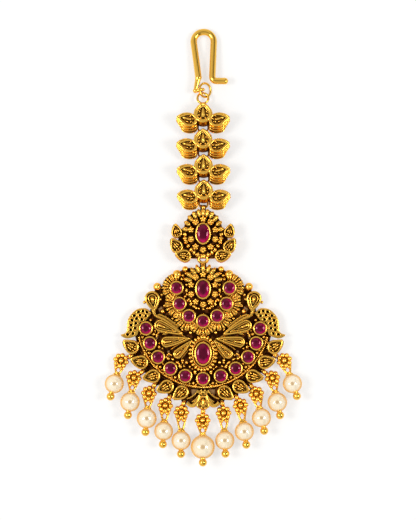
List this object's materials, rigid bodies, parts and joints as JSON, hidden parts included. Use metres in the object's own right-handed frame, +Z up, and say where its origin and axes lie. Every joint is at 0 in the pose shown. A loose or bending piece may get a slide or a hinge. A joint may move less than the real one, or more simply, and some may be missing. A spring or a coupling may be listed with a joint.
{
  "type": "maang tikka",
  "caption": "Temple-style forehead ornament: stone-set crescent pendant with pearl drops, an oval plaque, a chain of leaf links and a hair hook.",
  "frame": {"origin": "centre of the footprint of the whole set, on the surface it lies on", "axes": "+Z up out of the surface, towards the worn front; +Y along the chain, from the pendant to the hair hook; +X to the viewer's right"},
  "size_m": [0.049, 0.109, 0.0062],
  "materials": {
    "antique_gold": "cast gold with dark patina in the recesses, satin high points",
    "bright_gold": "polished gold",
    "ruby": "deep crimson cut stone, polished",
    "pearl": "cream pearl lustre"
  },
  "bodies": {
    "root": {"arc_rubies": "ruby", "centre_ruby": "ruby", "crescent_ruby_1": "ruby", "crescent_ruby_10": "ruby", "crescent_ruby_11": "ruby", "crescent_ruby_2": "ruby", "crescent_ruby_3": "ruby", "crescent_ruby_4": "ruby", "crescent_ruby_5": "ruby", "crescent_ruby_6": "ruby", "crescent_ruby_7": "ruby", "crescent_ruby_8": "ruby", "crescent_ruby_9": "ruby", "crown_ruby": "ruby", "drop_flower_1": "antique_gold", "drop_flower_10": "antique_gold", "drop_flower_11": "antique_gold", "drop_flower_2": "antique_gold", "drop_flower_3": "antique_gold", "drop_flower_4": "antique_gold", "drop_flower_5": "antique_gold", "drop_flower_6": "antique_gold", "drop_flower_7": "antique_gold", "drop_flower_8": "antique_gold", "drop_flower_9": "antique_gold", "hook": "bright_gold", "hook_ring": "bright_gold", "leaf_link_1": "antique_gold", "leaf_link_2": "antique_gold", "leaf_link_3": "antique_gold", "leaf_link_4": "antique_gold", "pearl_1": "pearl", "pearl_10": "pearl", "pearl_11": "pearl", "pearl_2": "pearl", "pearl_3": "pearl", "pearl_4": "pearl", "pearl_5": "pearl", "pearl_6": "pearl", "pearl_7": "pearl", "pearl_8": "pearl", "pearl_9": "pearl", "pearl_pin_1": "bright_gold", "pearl_pin_10": "bright_gold", "pearl_pin_11": "bright_gold", "pearl_pin_2": "bright_gold", "pearl_pin_3": "bright_gold", "pearl_pin_4": "bright_gold", "pearl_pin_5": "bright_gold", "pearl_pin_6": "bright_gold", "pearl_pin_7": "bright_gold", "pearl_pin_8": "bright_gold", "pearl_pin_9": "bright_gold", "pendant_plate": "antique_gold", "rosette_plaque": "antique_gold", "rosette_ruby": "ruby"}
  },
  "joints": []
}
